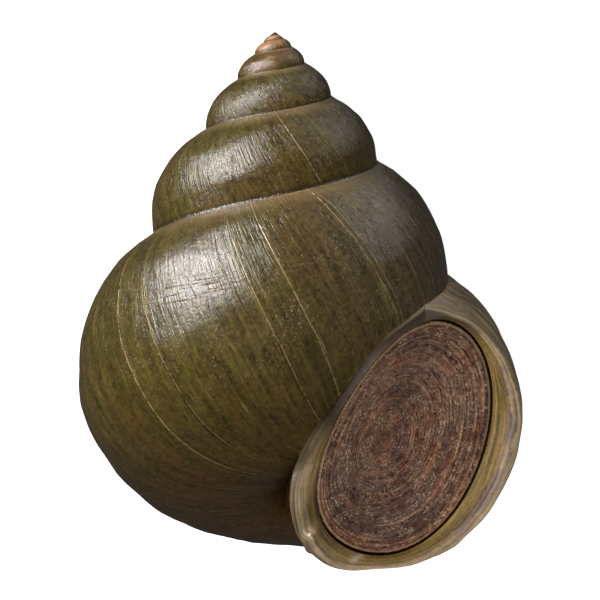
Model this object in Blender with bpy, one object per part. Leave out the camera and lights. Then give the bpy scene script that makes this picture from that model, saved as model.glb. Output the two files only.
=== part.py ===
"""Mystery snail shell at rest on its side, with the horny lid that closes its mouth.

Both pieces are modelled standing, in metres: the coil's axis is Z with the tip at the origin, and the
mouth looks at -Y. They are then laid down as the shell rests. Growth is counted in turns of the coil,
0 where the coil passes +X beside the mouth and negative towards the tip. Rows run down one whorl: 0 at
the seam above it, 1 where the next whorl joins, 2 at the lowest point of the base and 3 at the navel.
"""

import math

import bmesh
import bpy
import numpy as np
from mathutils import Matrix, Vector

MM = 0.001

# Whorl half-width and the depth of the widest point under the tip, at counts of turns.
TURNS = np.array([-4, -3.5, -3, -2.5, -2, -1.5, -1, -0.5, -0.25, 0.0])
HALF_WIDTH = np.array([3.19, 4.37, 5.97, 8.14, 10.83, 14.56, 18.26, 23.46, 24.93, 26.12]) * MM
DEPTH = np.array([3.66, 5.29, 7.40, 10.74, 14.78, 20.46, 27.99, 38.47, 40.84, 43.28]) * MM
TIP_WIDENING = 0.60
TIP_DEEPENING = 0.73

# A whorl's shape as shares of its half-width, with the change per turn of growth since EARLIEST. The
# base is narrower by BASE_NARROWING at the mouth, and this fades out over BASE_TURNS towards the tip.
EARLIEST = -3
SHOULDER, SHOULDER_TREND = 0.475, -0.21
DROP, DROP_TREND = 0.652, -0.16
BASE, BASE_NARROWING, BASE_TURNS = 0.82, 0.262, 0.55

# Roundness of a whorl's halves as superellipses; 2 would be a true ellipse. The shoulder is flatter at
# the mouth by SHOULDER_FLATTENING, which fades out over FLATTENING_TURNS.
BASE_ROUNDNESS = 1.84
SHOULDER_ROUNDNESS, SHOULDER_FLATTENING, FLATTENING_TURNS = 2.06, 0.19, 0.3
LEAST_REACH = 0.02

# Height of the navel's rim, as a share of the way from a whorl's widest point down to its lowest.
NAVEL_RIM, NAVEL_TREND = 0.68, -0.3

# Angle below the widest point of the whorl above at which the next whorl joins, at counts of turns.
SEAM_TURNS = (-3, -1, -0.5, 0, 0.1)
SEAM_ANGLES = (0.5, 1.6, 9.8, 1.0, 5.0)

# The mouth's edge: the turns at which growth stopped, at rows of the last whorl. Under the base the
# edge leaves the coil, and its distance from the axis and its height are given too.
LIP_ROWS = (0, 0.42, 0.93, 1.5, 1.85, 2.0, 2.22, 2.345, 2.44, 2.53, 2.64, 2.78, 2.905, 3)
LIP_TURNS = (0.10, 0.05, 0.016, 0.01, 0.045, 0.1, 0.162, 0.203, 0.226, 0.241, 0.2505, 0.2535, 0.247, 0.2375)
UNDER_ROWS = (2.22, 2.345, 2.44, 2.53, 2.64, 2.78, 2.905)
UNDER_RADII = np.array([10.1, 10.40, 11.05, 11.9, 12.75, 13.3, 13.0]) * MM
UNDER_HEIGHTS = np.array([-60.2, -59.3, -58.1, -56.6, -54.6, -51.6, -48.85]) * MM
COLUMELLA_TURN = LIP_TURNS[-1]
BASE_SPREAD = 8.9 * MM

# The mouth's edge on the whorl above: the turns of that whorl at its rows.
INNER_ROWS = [1 + k / 12 for k in range(9)]
INNER_TURNS = (-0.90, -0.850, -0.8275, -0.8145, -0.803, -0.790, -0.779, -0.770, -0.7625)

# The lid, seen from the front: its middle, half-length, half-width and lean, then the slopes of its plane.
# Its outline is an oval, more pointed at the top, fuller on the outer side and blunter at its ends.
LID_X, LID_Y, LID_Z = 12.6 * MM, -9.3 * MM, -45.7 * MM
LID_HALF_LENGTH = 14.2 * MM
LID_HALF_WIDTH = 8.27 * MM
LID_LEAN = math.radians(27.1)
LID_SLOPE_X, LID_SLOPE_Z = 0.65, -0.40
LID_POINTEDNESS = 0.10
LID_FULLNESS = 0.095
LID_BLUNTNESS = 0.04
LID_THICKNESS = 0.5 * MM
LID_DISH = 0.5 * MM
LID_GAP = 0.5 * MM

# The lid's edge bends forward where it passes the whorl above.
LID_BEND = 2.4 * MM
LID_BEND_SIDE = math.radians(-117)
LID_BEND_SPREAD = math.radians(23)

# Passes by which a place's share and angle on the lid's outline are found.
LID_PASSES = 6

# How far the lip rolls outward before it turns in to the lid, and how far on the whorl above.
LIP_ROLL = 1.2 * MM
INNER_LIP_ROLL = 0.15 * MM

# The wall, and the hollow behind the lid: how far back it goes, how soon its rings spread out, and the
# turns over which it widens from the lid to the wall.
SHELL_WALL = 0.9 * MM
HOLLOW_TURNS = 1.5
HOLLOW_SPREAD = 1.4
MOUTH_DEPTH = 0.08

TIP_HEIGHT = -0.1 * MM
NAVEL_DEPTH = 0.5 * MM

# Mesh density: columns per turn, rows per stretch of a whorl, and rings in the lip and the hollow.
COLUMNS = 48
ROWS_ABOVE = 8
ROWS_BASE = 15
ROWS_NAVEL = 8
JOIN_ROWS = 10
LIP_RINGS = 5
HOLLOW_RINGS = 20
LID_RINGS = 4
LID_SIDES = 40
SPIRE_WHORLS = 5
WELD = 0.002 * MM

# Small steps of turns and rows, over which directions on the outside are taken.
STEP_TURN, STEP_ROW = 0.002, 0.01

# How the standing shell is laid down at rest: spun about its axis, leant over, then turned on the floor
# so that the mouth looks at -Y.
SPIN = math.radians(28.5)
LEAN = math.radians(-119.5)
TURN = math.radians(-132.2)


def spline(stations, values, first_slope):
    """A smooth curve through the values, straight before the first station and level after the last."""
    count, gaps, rises = len(stations), np.diff(stations), np.diff(values)
    system, right = np.zeros((count, count)), np.zeros(count)
    system[0, :2] = 2 * gaps[0], gaps[0]
    right[0] = 6 * (rises[0] / gaps[0] - first_slope)
    for i in range(1, count - 1):
        system[i, i - 1 : i + 2] = gaps[i - 1], 2 * (gaps[i - 1] + gaps[i]), gaps[i]
        right[i] = 6 * (rises[i] / gaps[i] - rises[i - 1] / gaps[i - 1])
    system[-1, -1] = 1
    bends = np.linalg.solve(system, right)

    def curve(at):
        inside = min(max(at, stations[0]), stations[-1])
        i = min(int(np.searchsorted(stations, inside, side="right")) - 1, count - 2)
        before = (stations[i + 1] - inside) / gaps[i]
        after = (inside - stations[i]) / gaps[i]
        bow = (before**3 - before) * bends[i] + (after**3 - after) * bends[i + 1]
        level = before * values[i] + after * values[i + 1] + bow * gaps[i] ** 2 / 6
        return level + first_slope * min(at - stations[0], 0)

    return curve


log_width = spline(TURNS, np.log(HALF_WIDTH), TIP_WIDENING)
log_depth = spline(TURNS, np.log(DEPTH), TIP_DEEPENING)
lip_turn = spline(LIP_ROWS, LIP_TURNS, -0.16)
inner_turn = spline(INNER_ROWS, INNER_TURNS, 0.62)


def whorl(turn):
    """Half-width, depth, and the reach of the shoulder, the base's width and the base's depth."""
    width, depth = math.exp(log_width(turn)), math.exp(log_depth(turn))
    late = min(max(turn, EARLIEST), 0)
    shoulder = width * (SHOULDER + SHOULDER_TREND * late)
    base = width * (BASE - BASE_NARROWING * math.exp(late / BASE_TURNS))
    drop = width * (DROP + DROP_TREND * late)
    return width, depth, shoulder, base, drop


def seam_angle(turn):
    return math.radians(float(np.interp(turn, SEAM_TURNS, SEAM_ANGLES)))


def base_arc(turn, angle):
    """(radius, height) on the lower half of a whorl, at an angle below its widest point."""
    width, depth, _, base, drop = whorl(turn)
    power = 2 / BASE_ROUNDNESS
    radius = width - base + base * max(math.cos(angle), 0) ** power
    return radius, -depth - drop * max(math.sin(angle), 0) ** power


def whorl_section(turn, row):
    """(radius, height) on the outside of a whorl, from its upper seam to its lowest point."""
    next_seam = seam_angle(turn + 1)
    if row > 1:
        return base_arc(turn, next_seam + (math.pi / 2 - next_seam) * (row - 1))
    width, depth, shoulder, _, _ = whorl(turn)
    seam_radius, seam_height = base_arc(turn - 1, seam_angle(turn))
    power = SHOULDER_ROUNDNESS - SHOULDER_FLATTENING * math.exp(min(turn, 0) / FLATTENING_TURNS)
    reach = min(max((seam_radius - width + shoulder) / shoulder, LEAST_REACH), 1 - LEAST_REACH)
    top = math.acos(reach ** (power / 2))
    rise = (seam_height + depth) / (1 - reach**power) ** (1 / power)
    angle = top - row * (top + next_seam)
    if angle < 0:
        return base_arc(turn, -angle)
    radius = width - shoulder + shoulder * math.cos(angle) ** (2 / power)
    return radius, -depth + rise * math.sin(angle) ** (2 / power)


def around(turn, radius, height):
    angle = -2 * math.pi * turn
    return np.array([radius * math.cos(angle), radius * math.sin(angle), height])


JOIN_ROW = 1 + JOIN_ROWS / ROWS_BASE
join_radius, join_height = whorl_section(COLUMELLA_TURN - 1, JOIN_ROW)
NAVEL_RADIUS = join_radius * math.cos(2 * math.pi * COLUMELLA_TURN)


def navel(turn):
    """(radius, height) of the base's inner end, which leaves the axis in a straight line at the mouth."""
    _, depth, _, _, drop = whorl(turn)
    height = -depth - drop * (NAVEL_RIM + NAVEL_TREND * min(turn, 0))
    if turn <= 0:
        return NAVEL_RADIUS, height
    along = math.tan(2 * math.pi * turn) / math.tan(2 * math.pi * COLUMELLA_TURN)
    return NAVEL_RADIUS / math.cos(2 * math.pi * turn), height + (join_height - height) * along


def coil(turn, row):
    """(radius, height) on the outside of the coil, from the seam to the navel."""
    if row <= 2:
        radius, height = whorl_section(turn, row)
        return radius + BASE_SPREAD * max(turn, 0) * max(row - 1, 0), height
    low_radius, low_height = coil(turn, 2)
    end_radius, end_height = navel(min(turn, COLUMELLA_TURN))
    angle = (row - 2) * math.pi / 2
    radius = low_radius + (end_radius - low_radius) * math.sin(angle)
    return radius, low_height + (end_height - low_height) * (1 - math.cos(angle))


def edge_curves():
    """The mouth's edge under the base: how far its radius and height are from the coil's, by row."""
    rows, off_radius, off_height = [2.0], [0.0], [0.0]
    for row, radius, height in zip(UNDER_ROWS, UNDER_RADII, UNDER_HEIGHTS):
        coil_radius, coil_height = coil(lip_turn(row), row)
        rows.append(row)
        off_radius.append(radius - coil_radius)
        off_height.append(height - coil_height)
    rows, off_radius, off_height = rows + [3.0], off_radius + [0.0], off_height + [0.0]
    return spline(rows, off_radius, 0), spline(rows, off_height, 0)


edge_radius, edge_height = edge_curves()


def outside(turn, row):
    """A point on the outside of the shell. Before the mouth the base swings over to the mouth's edge."""
    radius, height = coil(turn, row)
    if row > 2 and turn > 0:
        share = min(turn / lip_turn(row), 1)
        share = share * share * (3 - 2 * share)
        radius += edge_radius(row) * share
        height += edge_height(row) * share
    return around(turn, radius, height)


def row_places():
    """Rows from the seam to the navel."""
    above = [i / ROWS_ABOVE for i in range(ROWS_ABOVE)]
    base = [1 + i / ROWS_BASE for i in range(ROWS_BASE)]
    under = [2 + i / ROWS_NAVEL for i in range(ROWS_NAVEL + 1)]
    return above + base + under


def last_whorl_start(row):
    """Turn at which the last whorl's mesh starts: one turn before the lip, or at the inner lip."""
    return inner_turn(min(max(row, 1), JOIN_ROW))


LID_OUTWARD = np.array([LID_SLOPE_X, -1, LID_SLOPE_Z])
LID_OUTWARD = LID_OUTWARD / np.linalg.norm(LID_OUTWARD)
LID_DOWN = (-math.sin(LID_LEAN), -math.cos(LID_LEAN))
LID_ACROSS = (math.cos(LID_LEAN), -math.sin(LID_LEAN))


def lid_plane(x, z, share, angle):
    """The point of the lid's sheet at a place seen from the front, with its edge bent forward."""
    aside = (angle - LID_BEND_SIDE + math.pi) % (2 * math.pi) - math.pi
    bend = LID_BEND * share**1.4 * math.exp(-((aside / LID_BEND_SPREAD) ** 2) / 2)
    return np.array([x, LID_Y + LID_SLOPE_X * (x - LID_X) + LID_SLOPE_Z * (z - LID_Z) - bend, z])


def lid_reach(angle):
    """The half-length and half-width of the lid's outline at an angle from its lower end."""
    full_down = LID_HALF_LENGTH * (1 - LID_BLUNTNESS * math.cos(2 * angle))
    full_across = LID_HALF_WIDTH * (1 + LID_POINTEDNESS * math.cos(angle) + LID_FULLNESS * math.sin(angle))
    return full_down, full_across


def on_lid(share, angle, spare=0.0):
    """A point of the lid, at a share of the way from its middle to its edge plus some spare."""
    full_down, full_across = lid_reach(angle)
    down = (share * full_down + spare) * math.cos(angle)
    across = (share * full_across + spare) * math.sin(angle)
    x = LID_X + down * LID_DOWN[0] + across * LID_ACROSS[0]
    z = LID_Z + down * LID_DOWN[1] + across * LID_ACROSS[1]
    return lid_plane(x, z, share, angle)


def lid_place(point):
    """(share, angle) of a point on the lid or beside it, seen from the front."""
    x, z = point[0] - LID_X, point[2] - LID_Z
    down = x * LID_DOWN[0] + z * LID_DOWN[1]
    across = x * LID_ACROSS[0] + z * LID_ACROSS[1]
    angle = math.atan2(across, down)
    for _ in range(LID_PASSES):
        full_down, full_across = lid_reach(angle)
        angle = math.atan2(across / full_across, down / full_down)
    return math.hypot(down / full_down, across / full_across), angle


def behind_lid(point):
    """The point itself, or the nearest one straight behind it that clears the lid's back."""
    share, angle = lid_place(point)
    lid = lid_plane(point[0], point[2], min(share, 1), angle)
    clear = (LID_THICKNESS + LID_DISH + LID_GAP) / -LID_OUTWARD[1]
    return np.array([point[0], max(point[1], lid[1] + clear), point[2]])


def growth(turn, row):
    """The direction in which the shell's edge grew at a place on its outside."""
    ahead = outside(turn, row) - outside(turn - 2 * STEP_TURN, row)
    return ahead / np.linalg.norm(ahead)


def facing(turn, row):
    """The outward direction at a place on the outside."""
    ahead = outside(turn + STEP_TURN, row) - outside(turn - STEP_TURN, row)
    down = outside(turn, min(row + STEP_ROW, 3)) - outside(turn, max(row - STEP_ROW, 0))
    out = np.cross(ahead, down)
    return out / np.linalg.norm(out)


class Spoke:
    """One line that runs from the mouth's edge over the lip, past the lid and into the hollow."""

    def __init__(self, row, inner):
        self.row = row
        self.inner = inner
        self.turn = last_whorl_start(row) if inner else lip_turn(row)
        self.edge = outside(self.turn, row)
        self.angle = lid_place(self.edge)[1]

    def lip(self, share):
        """On the rounded lip, from the mouth's edge to the lid's edge."""
        end = on_lid(1, self.angle, LID_GAP)
        if self.inner:
            lead = self.edge + (end - self.edge) / 3 + facing(self.turn, self.row) * INNER_LIP_ROLL
        else:
            lead = self.edge + growth(self.turn, self.row) * LIP_ROLL
        out = LID_OUTWARD * LIP_ROLL
        weights = (1 - share) ** 3, 3 * share * (1 - share) ** 2, 3 * share**2 * (1 - share), share**3
        return sum(w * p for w, p in zip(weights, (self.edge, lead, end + out, end)))

    def inside(self, back):
        """On the inside of the shell's wall, some turns back from the mouth's edge."""
        turn = self.turn - back
        if self.inner:
            return outside(turn, self.row)
        if self.row == 0:
            return outside(turn - 1, 1 + 0.5 / ROWS_BASE)
        return outside(turn, self.row) - facing(turn, self.row) * SHELL_WALL

    def hollow(self, back):
        """In the hollow, which starts narrow behind the lid and soon widens to the shell's wall."""
        throat = on_lid(1, self.angle, LID_GAP) - LID_OUTWARD * (LID_THICKNESS + LID_GAP)
        share = min(back / MOUTH_DEPTH, 1)
        narrowing = 1 - share * share * (3 - 2 * share)
        place = self.inside(back) + (throat - self.inside(0)) * narrowing
        return behind_lid(place) if 0 < share < 1 else place


def add_sheet(bm, point, across, along):
    """Adds a grid of faces with a vertex at point(u, v) for each u in across and each v in along."""
    across, along = list(across), list(along)
    made = bmesh.ops.create_grid(bm, x_segments=len(across) - 1, y_segments=len(along) - 1, size=1)
    for i, vert in enumerate(made["verts"]):
        vert.co = point(across[i % len(across)], along[i // len(across)])


def add_fan(bm, ring, tip):
    """Adds the triangles between a closed ring of points and one point in its middle."""
    places = list(range(len(ring))) + [0]
    add_sheet(bm, lambda i, side: ring[i] if side else tip, places, (0, 1))


def finish(bm, name, base_color, roughness):
    bmesh.ops.remove_doubles(bm, verts=bm.verts, dist=WELD)
    bmesh.ops.recalc_face_normals(bm, faces=bm.faces)
    bmesh.ops.triangulate(bm, faces=bm.faces)
    for face in bm.faces:
        face.smooth = True
    mesh = bpy.data.meshes.new(name)
    bm.to_mesh(mesh)
    bm.free()
    material = bpy.data.materials.new(name)
    material.use_nodes = True
    shader = material.node_tree.nodes["Principled BSDF"]
    shader.inputs["Base Color"].default_value = (*base_color, 1)
    shader.inputs["Roughness"].default_value = roughness
    mesh.materials.append(material)
    piece = bpy.data.objects.new(name, mesh)
    bpy.context.scene.collection.objects.link(piece)
    return piece


def last_whorl(share, row):
    """A point of the last whorl, at a share of the way to the mouth's edge."""
    start = last_whorl_start(row)
    return outside(start + (lip_turn(row) - start) * share, row)


def add_spire(bm, rows):
    end = LIP_TURNS[0] - 1
    start = end - SPIRE_WHORLS
    turns = np.linspace(start, end, SPIRE_WHORLS * COLUMNS + 1)
    add_sheet(bm, outside, turns, rows[: ROWS_ABOVE + 1])
    ring = [outside(turn - 1, 1) for turn in turns[: COLUMNS + 1]]
    ring += [outside(start, row) for row in rows[ROWS_ABOVE - 1 : 0 : -1]]
    add_fan(bm, ring, np.array([0, 0, TIP_HEIGHT]))


def add_navel(bm, rows, shares):
    """Closes the base between the navel, the crease beside the lip and the whorl above."""
    beneath = [last_whorl(0, row) for row in rows[: ROWS_ABOVE + JOIN_ROWS - 1 : -1]]
    first = len(shares) - len(beneath)
    crease = [last_whorl(share, 3) for share in shares[first:]]
    add_sheet(bm, lambda i, side: (crease, beneath)[side][i], range(len(beneath)), (0, 1))
    ring = [last_whorl(share, 3) for share in shares[: first + 1]]
    add_fan(bm, ring, np.array([0, 0, last_whorl(0, 3)[2] - NAVEL_DEPTH]))


def add_mouth(bm, rows):
    """The rounded lip, then the hollow behind the lid."""
    inner_rows = rows[ROWS_ABOVE + JOIN_ROWS - 1 : ROWS_ABOVE : -1]
    spokes = [Spoke(row, False) for row in rows] + [Spoke(row, True) for row in inner_rows]
    places = list(range(len(spokes))) + [0]
    add_sheet(bm, lambda i, share: spokes[i].lip(share), places, np.linspace(0, 1, LIP_RINGS + 1))
    add_sheet(bm, lambda i, deep: spokes[i].hollow(0) if deep else spokes[i].lip(1), places, (0, 1))
    depths = [HOLLOW_TURNS * (k / HOLLOW_RINGS) ** HOLLOW_SPREAD for k in range(HOLLOW_RINGS + 1)]
    add_sheet(bm, lambda i, back: spokes[i].hollow(back), places, depths)
    deepest = [spoke.hollow(HOLLOW_TURNS) for spoke in spokes]
    add_fan(bm, deepest, sum(deepest) / len(deepest))


def make_shell():
    bm = bmesh.new()
    rows = row_places()
    shares = np.linspace(0, 1, COLUMNS + 1)
    add_spire(bm, rows)
    add_sheet(bm, last_whorl, shares, rows)
    add_navel(bm, rows, shares)
    add_mouth(bm, rows)
    return finish(bm, "shell", (0.12, 0.09, 0.03), 0.3)


def make_lid():
    bm = bmesh.new()
    angles = list(np.linspace(0, 2 * math.pi, LID_SIDES, endpoint=False)) + [0]
    shares = [k / LID_RINGS for k in range(LID_RINGS + 1)]

    def place(share, angle, depth):
        return on_lid(share, angle) - LID_OUTWARD * (LID_DISH * (1 - share**2) + depth)

    for depth in (0, LID_THICKNESS):
        add_sheet(bm, lambda angle, share: place(share, angle, depth), angles, shares)
    add_sheet(bm, lambda angle, depth: place(1, angle, depth), angles, (0, LID_THICKNESS))
    return finish(bm, "operculum", (0.08, 0.03, 0.02), 0.4)


def lay_down(pieces):
    """Turns the pieces to their resting pose, on the floor with the origin under their middle."""
    laid = Matrix.Rotation(TURN, 4, "Z") @ Matrix.Rotation(LEAN, 4, "X") @ Matrix.Rotation(SPIN, 4, "Z")
    for piece in pieces:
        piece.data.transform(laid)
    corners = [vert.co for piece in pieces for vert in piece.data.vertices]
    low = Vector(min(corner[axis] for corner in corners) for axis in range(3))
    high = Vector(max(corner[axis] for corner in corners) for axis in range(3))
    middle = (low + high) / 2
    for piece in pieces:
        piece.data.transform(Matrix.Translation((-middle.x, -middle.y, -low.z)))


for old in list(bpy.data.objects):
    bpy.data.objects.remove(old)
lay_down([make_shell(), make_lid()])
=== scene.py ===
"""Mystery snail shell at rest on its side, its mouth closed by a horny lid, seen towards the mouth.

Both pieces are modelled standing, in metres: the coil's axis is Z with the tip at the origin, and the
mouth looks at -Y. They are then laid down where the solids lie. Growth is counted in turns of the coil,
0 where the coil passes +X beside the mouth and negative towards the tip. Rows run down one whorl: 0 at
the seam above it, 1 where the next whorl joins, 2 at the lowest point of the base and 3 at the navel.
"""

import math

import bmesh
import bpy
import numpy as np
from mathutils import Matrix, Vector, noise


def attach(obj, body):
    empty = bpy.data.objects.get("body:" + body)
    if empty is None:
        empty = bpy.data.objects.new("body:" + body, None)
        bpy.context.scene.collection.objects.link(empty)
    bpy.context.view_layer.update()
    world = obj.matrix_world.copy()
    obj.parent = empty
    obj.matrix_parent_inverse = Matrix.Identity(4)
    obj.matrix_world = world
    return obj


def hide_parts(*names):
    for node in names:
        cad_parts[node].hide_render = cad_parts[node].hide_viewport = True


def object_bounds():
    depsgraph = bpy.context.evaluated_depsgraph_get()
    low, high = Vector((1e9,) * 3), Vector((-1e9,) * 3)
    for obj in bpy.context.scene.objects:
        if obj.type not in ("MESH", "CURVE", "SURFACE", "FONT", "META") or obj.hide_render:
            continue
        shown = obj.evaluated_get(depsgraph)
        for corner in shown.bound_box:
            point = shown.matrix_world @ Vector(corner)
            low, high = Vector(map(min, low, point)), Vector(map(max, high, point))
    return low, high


MM = 0.001

# Whorl half-width and the depth of the widest point under the tip, at counts of turns.
TURNS = np.array([-4, -3.5, -3, -2.5, -2, -1.5, -1, -0.5, -0.25, 0.0])
HALF_WIDTH = np.array([3.19, 4.37, 5.97, 8.14, 10.83, 14.56, 18.26, 23.46, 24.93, 26.12]) * MM
DEPTH = np.array([3.66, 5.29, 7.40, 10.74, 14.78, 20.46, 27.99, 38.47, 40.84, 43.28]) * MM
TIP_WIDENING = 0.60
TIP_DEEPENING = 0.73

# A whorl's shape as shares of its half-width, with the change per turn of growth since EARLIEST. The
# base is narrower by BASE_NARROWING at the mouth, and this fades out over BASE_TURNS towards the tip.
EARLIEST = -3
SHOULDER, SHOULDER_TREND = 0.475, -0.21
DROP, DROP_TREND = 0.652, -0.16
BASE, BASE_NARROWING, BASE_TURNS = 0.82, 0.262, 0.55

# Roundness of a whorl's halves as superellipses; 2 would be a true ellipse. The shoulder is flatter at
# the mouth by SHOULDER_FLATTENING, which fades out over FLATTENING_TURNS.
BASE_ROUNDNESS = 1.84
SHOULDER_ROUNDNESS, SHOULDER_FLATTENING, FLATTENING_TURNS = 2.06, 0.19, 0.3
LEAST_REACH = 0.02

# Height of the navel's rim, as a share of the way from a whorl's widest point down to its lowest.
NAVEL_RIM, NAVEL_TREND = 0.68, -0.3

# Angle below the widest point of the whorl above at which the next whorl joins, at counts of turns.
SEAM_TURNS = (-3, -1, -0.5, 0, 0.1)
SEAM_ANGLES = (0.5, 1.6, 9.8, 1.0, 5.0)

# The mouth's edge: the turns at which growth stopped, at rows of the last whorl. Under the base the
# edge leaves the coil, and its distance from the axis and its height are given too.
LIP_ROWS = (0, 0.42, 0.93, 1.5, 1.85, 2.0, 2.22, 2.345, 2.44, 2.53, 2.64, 2.78, 2.905, 3)
LIP_TURNS = (0.10, 0.05, 0.016, 0.01, 0.045, 0.1, 0.162, 0.203, 0.226, 0.241, 0.2505, 0.2535, 0.247, 0.2375)
UNDER_ROWS = (2.22, 2.345, 2.44, 2.53, 2.64, 2.78, 2.905)
UNDER_RADII = np.array([10.1, 10.40, 11.05, 11.9, 12.75, 13.3, 13.0]) * MM
UNDER_HEIGHTS = np.array([-60.2, -59.3, -58.1, -56.6, -54.6, -51.6, -48.85]) * MM
COLUMELLA_TURN = LIP_TURNS[-1]
BASE_SPREAD = 8.9 * MM

# The mouth's edge on the whorl above: the turns of that whorl at its rows.
INNER_ROWS = [1 + k / 12 for k in range(9)]
INNER_TURNS = (-0.90, -0.850, -0.8275, -0.8145, -0.803, -0.790, -0.779, -0.770, -0.7625)
JOIN_ROW = INNER_ROWS[-1]

# The lid, seen from the front: its middle, half-length, half-width and lean, then the slopes of its plane.
LID_X, LID_Y, LID_Z = 12.6 * MM, -9.3 * MM, -45.7 * MM
LID_HALF_LENGTH = 14.2 * MM
LID_HALF_WIDTH = 8.27 * MM
LID_LEAN = math.radians(27.1)
LID_SLOPE_X, LID_SLOPE_Z = 0.65, -0.40
LID_POINTEDNESS = 0.10
LID_FULLNESS = 0.095
LID_BLUNTNESS = 0.04
LID_PASSES = 6
LID_THICKNESS = 0.5 * MM
LID_DISH = 0.5 * MM
LID_GAP = 0.25 * MM
LID_BEND = 2.4 * MM
LID_BEND_SIDE = math.radians(-117)
LID_BEND_SPREAD = math.radians(23)

LIP_ROLL = 1.2 * MM
INNER_LIP_ROLL = 0.15 * MM
LIP_CREST = 0.7 * MM
LIP_SWELL = 0.50 * MM
SHELL_WALL = 0.9 * MM
HOLLOW_TURNS = 1.5
MOUTH_DEPTH = 0.08
TIP_HEIGHT = -0.1 * MM
NAVEL_DEPTH = 0.5 * MM

# How far growth lines run ahead of or behind the place where the next whorl joins: turns at rows.
TRAIL_ROWS = (0, 0.5, 1, 1.3, 1.5, 1.65, 1.8, 2.0, 2.3, 3)
TRAIL_TURNS = (-0.070, -0.035, 0, 0.022, 0.046, 0.078, 0.118, 0.155, 0.160, 0.100)

# Coarse growth folds on the outside: age, half-width in turns and height.
FOLDS = (
    (-0.612, 0.004, 0.05 * MM),
    (-0.647, 0.003, 0.03 * MM),
    (-0.745, 0.004, 0.05 * MM),
    (-0.777, 0.004, 0.04 * MM),
    (-0.862, 0.006, 0.09 * MM),
    (-0.900, 0.004, 0.04 * MM),
    (-0.460, 0.005, 0.06 * MM),
    (-0.330, 0.004, 0.05 * MM),
    (-0.200, 0.006, 0.06 * MM),
    (-0.075, 0.004, 0.05 * MM),
    (-1.180, 0.005, 0.06 * MM),
    (-1.430, 0.004, 0.05 * MM),
    (-1.812, 0.005, 0.06 * MM),
    (-1.865, 0.004, 0.05 * MM),
)

# Shallow dents of the outside: how many along a turn and down a row, and their height.
DENTS = ((9, 5, 0.20 * MM), (34, 11, 0.09 * MM), (90, 16, 0.025 * MM))
SMOOTH_BASE = 2.4
SEAM_THREAD = 0.10 * MM

# The lid's growth rings: their middle beside the lid's, fine ridges and broader steps.
NUCLEUS = (-2.7 * MM, -0.1 * MM)
RIDGES = 34
RIDGE_HEIGHT = 0.030 * MM
RING_WANDER = 0.02
STEPS = (
    (0.300, 0.020, 0.05 * MM),
    (0.500, 0.016, 0.10 * MM),
    (0.560, 0.020, -0.08 * MM),
    (0.680, 0.030, -0.05 * MM),
    (0.765, 0.014, 0.09 * MM),
    (0.800, 0.014, -0.07 * MM),
    (0.880, 0.012, 0.06 * MM),
    (0.935, 0.012, -0.12 * MM),
    (0.975, 0.016, 0.16 * MM),
)

# Mesh density. The navel is closed with one column of the last whorl for each row after the join.
COLUMNS = 240
SPIRE_WHORLS = 5
ROWS_ABOVE = 26
ROWS_BASE = 75
ROWS_NAVEL = 36
LIP_RINGS = 22
HOLLOW_RINGS = 24
NAVEL_STEPS = 6
LID_SIDES = 180
LID_RINGS = 230
WELD = 0.002 * MM

# Small steps of turns and rows, over which directions on the outside are taken.
STEP_TURN, STEP_ROW = 0.002, 0.01

# How the standing shell is laid down at rest.
SPIN = math.radians(28.5)
LEAN = math.radians(-119.5)
TURN = math.radians(-132.2)
LAID = Matrix.Rotation(TURN, 4, "Z") @ Matrix.Rotation(LEAN, 4, "X") @ Matrix.Rotation(SPIN, 4, "Z")

# The photo: where its middle lies on the shell, its width, and how it is turned.
VIEW_X, VIEW_Z = 1.68 * MM, -30.24 * MM
VIEW_WIDTH = 67.2 * MM
VIEW_RISE = 0.0136
VIEW_ROLL = 0.0376
CAMERA_LENS = 600
SENSOR = 36

# The lights: name, direction, direction of the long side (both counting the camera's right, up and
# towards), distance, size, power and whether the skin mirrors it.
LAMPS = (
    ("key", (-0.72, 0.59, 0.35), (-0.11, -0.35, 0.93), 0.35, (0.080, 0.30), 2.1, True),
    ("streak", (0.62, 0.76, -0.19), (0.64, -0.40, 0.44), 0.35, (0.05, 0.30), 0.22, True),
    ("fill", (-0.10, -0.15, 0.98), (1.0, 0.0, 0.1), 0.50, (0.40, 0.40), 2.1, False),
)
SKY = 0.06
FLOOR_GLOW = 0.93


def smooth_step(share):
    share = np.clip(share, 0, 1)
    return share * share * (3 - 2 * share)


def spline(stations, values, first_slope):
    """A smooth curve through the values, straight before the first station and level after the last."""
    stations, values = np.asarray(stations, float), np.asarray(values, float)
    count, gaps, rises = len(stations), np.diff(stations), np.diff(values)
    system, right = np.zeros((count, count)), np.zeros(count)
    system[0, :2] = 2 * gaps[0], gaps[0]
    right[0] = 6 * (rises[0] / gaps[0] - first_slope)
    for i in range(1, count - 1):
        system[i, i - 1 : i + 2] = gaps[i - 1], 2 * (gaps[i - 1] + gaps[i]), gaps[i]
        right[i] = 6 * (rises[i] / gaps[i] - rises[i - 1] / gaps[i - 1])
    system[-1, -1] = 1
    bends = np.linalg.solve(system, right)

    def curve(at):
        inside = np.clip(at, stations[0], stations[-1])
        i = np.minimum(np.searchsorted(stations, inside, side="right") - 1, count - 2)
        before = (stations[i + 1] - inside) / gaps[i]
        after = (inside - stations[i]) / gaps[i]
        bow = (before**3 - before) * bends[i] + (after**3 - after) * bends[i + 1]
        level = before * values[i] + after * values[i + 1] + bow * gaps[i] ** 2 / 6
        return level + first_slope * np.minimum(at - stations[0], 0)

    return curve


log_width = spline(TURNS, np.log(HALF_WIDTH), TIP_WIDENING)
log_depth = spline(TURNS, np.log(DEPTH), TIP_DEEPENING)
lip_turn = spline(LIP_ROWS, LIP_TURNS, -0.16)
inner_turn = spline(INNER_ROWS, INNER_TURNS, 0.62)


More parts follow.
